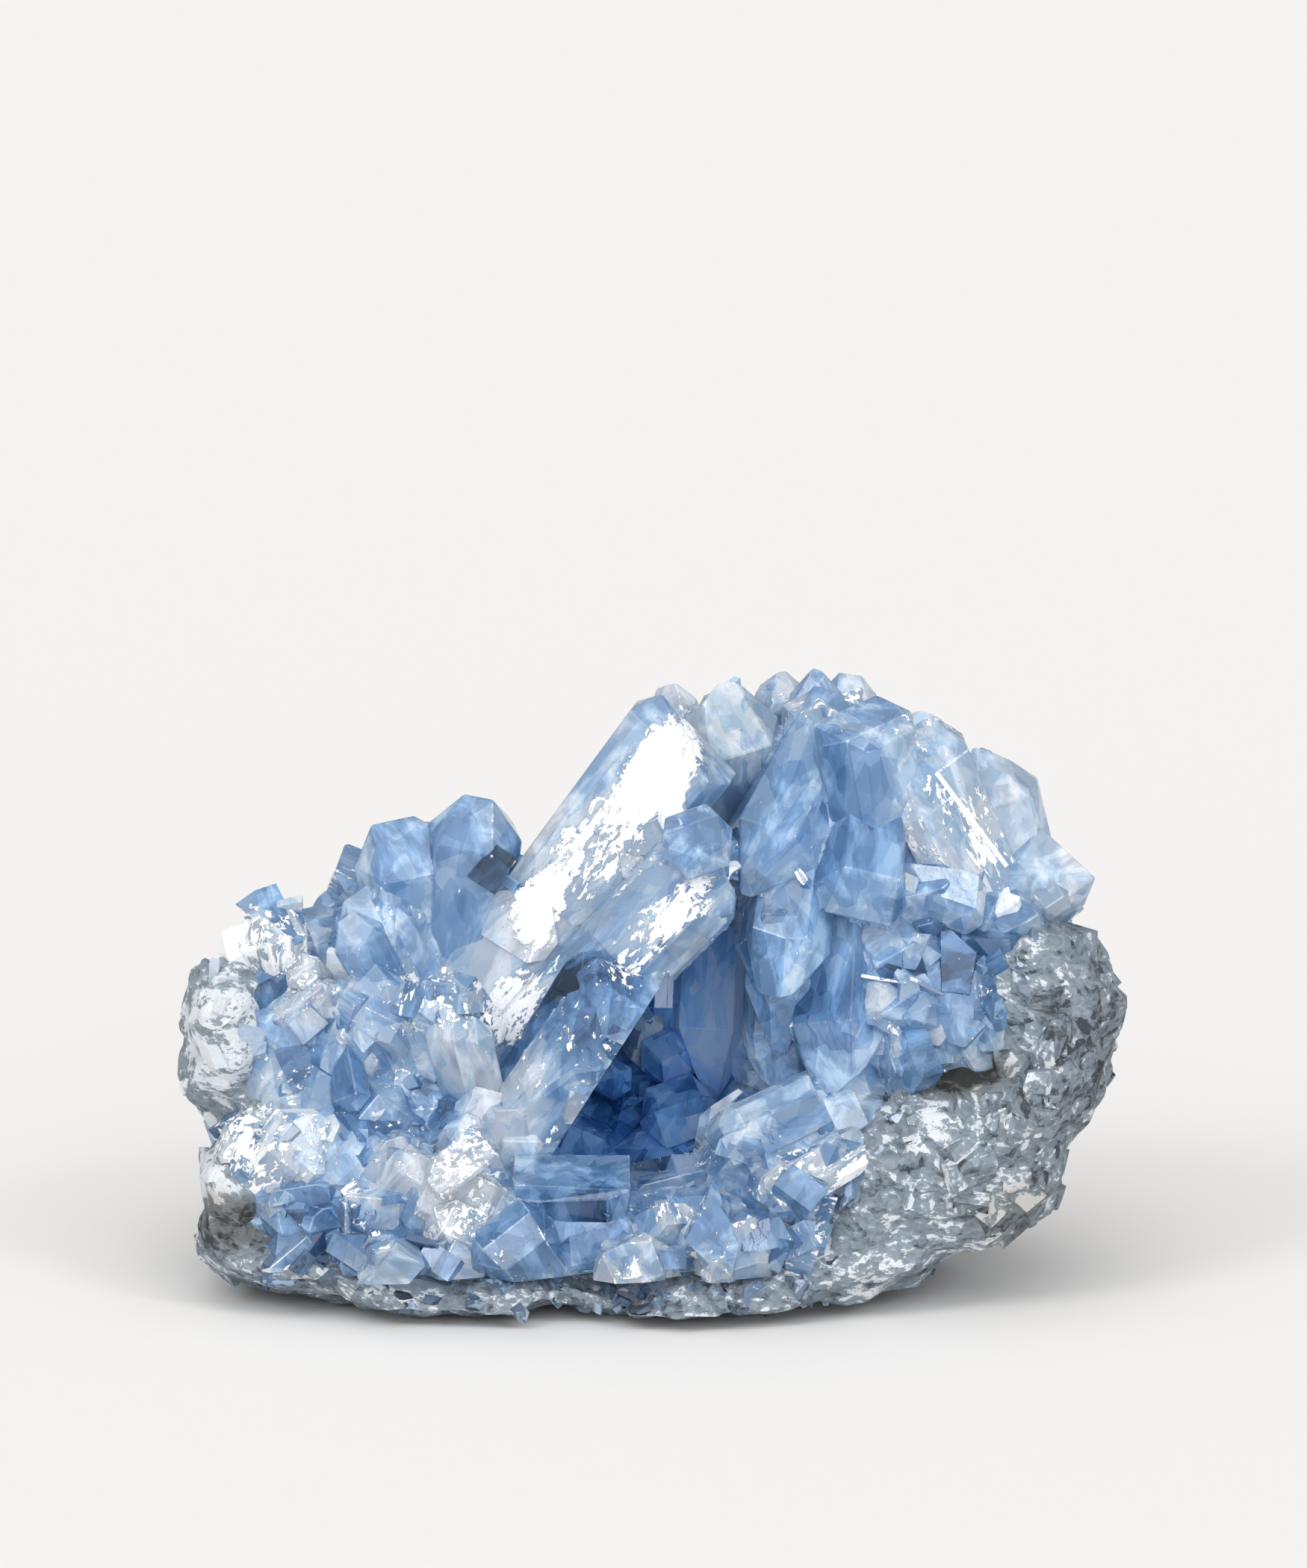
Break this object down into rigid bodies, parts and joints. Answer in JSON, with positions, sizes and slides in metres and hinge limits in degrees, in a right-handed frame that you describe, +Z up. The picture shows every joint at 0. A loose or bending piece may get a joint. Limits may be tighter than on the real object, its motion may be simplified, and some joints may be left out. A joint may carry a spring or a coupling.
{
  "type": "celestite geode",
  "caption": "Broken piece of a celestite geode: pale blue bladed crystals around a deep blue hollow, grown on pitted grey host rock that rests on a small flat underside.",
  "frame": {"origin": "centre of the underside of the whole piece, on the surface it rests on", "axes": "+Z up, +X along the open side to the viewer's right, +Y from the open side back into the stone"},
  "size_m": [0.1278, 0.089, 0.0825],
  "materials": {
    "host_rock": "rough, granular, pitted",
    "celestite": "vitreous, cloudy inside, frosted in places",
    "deep_celestite": "vitreous, dark blue"
  },
  "bodies": {
    "root": {"matrix": "host_rock", "crystal_cluster": "celestite", "hollow_crust": "deep_celestite"}
  },
  "joints": []
}
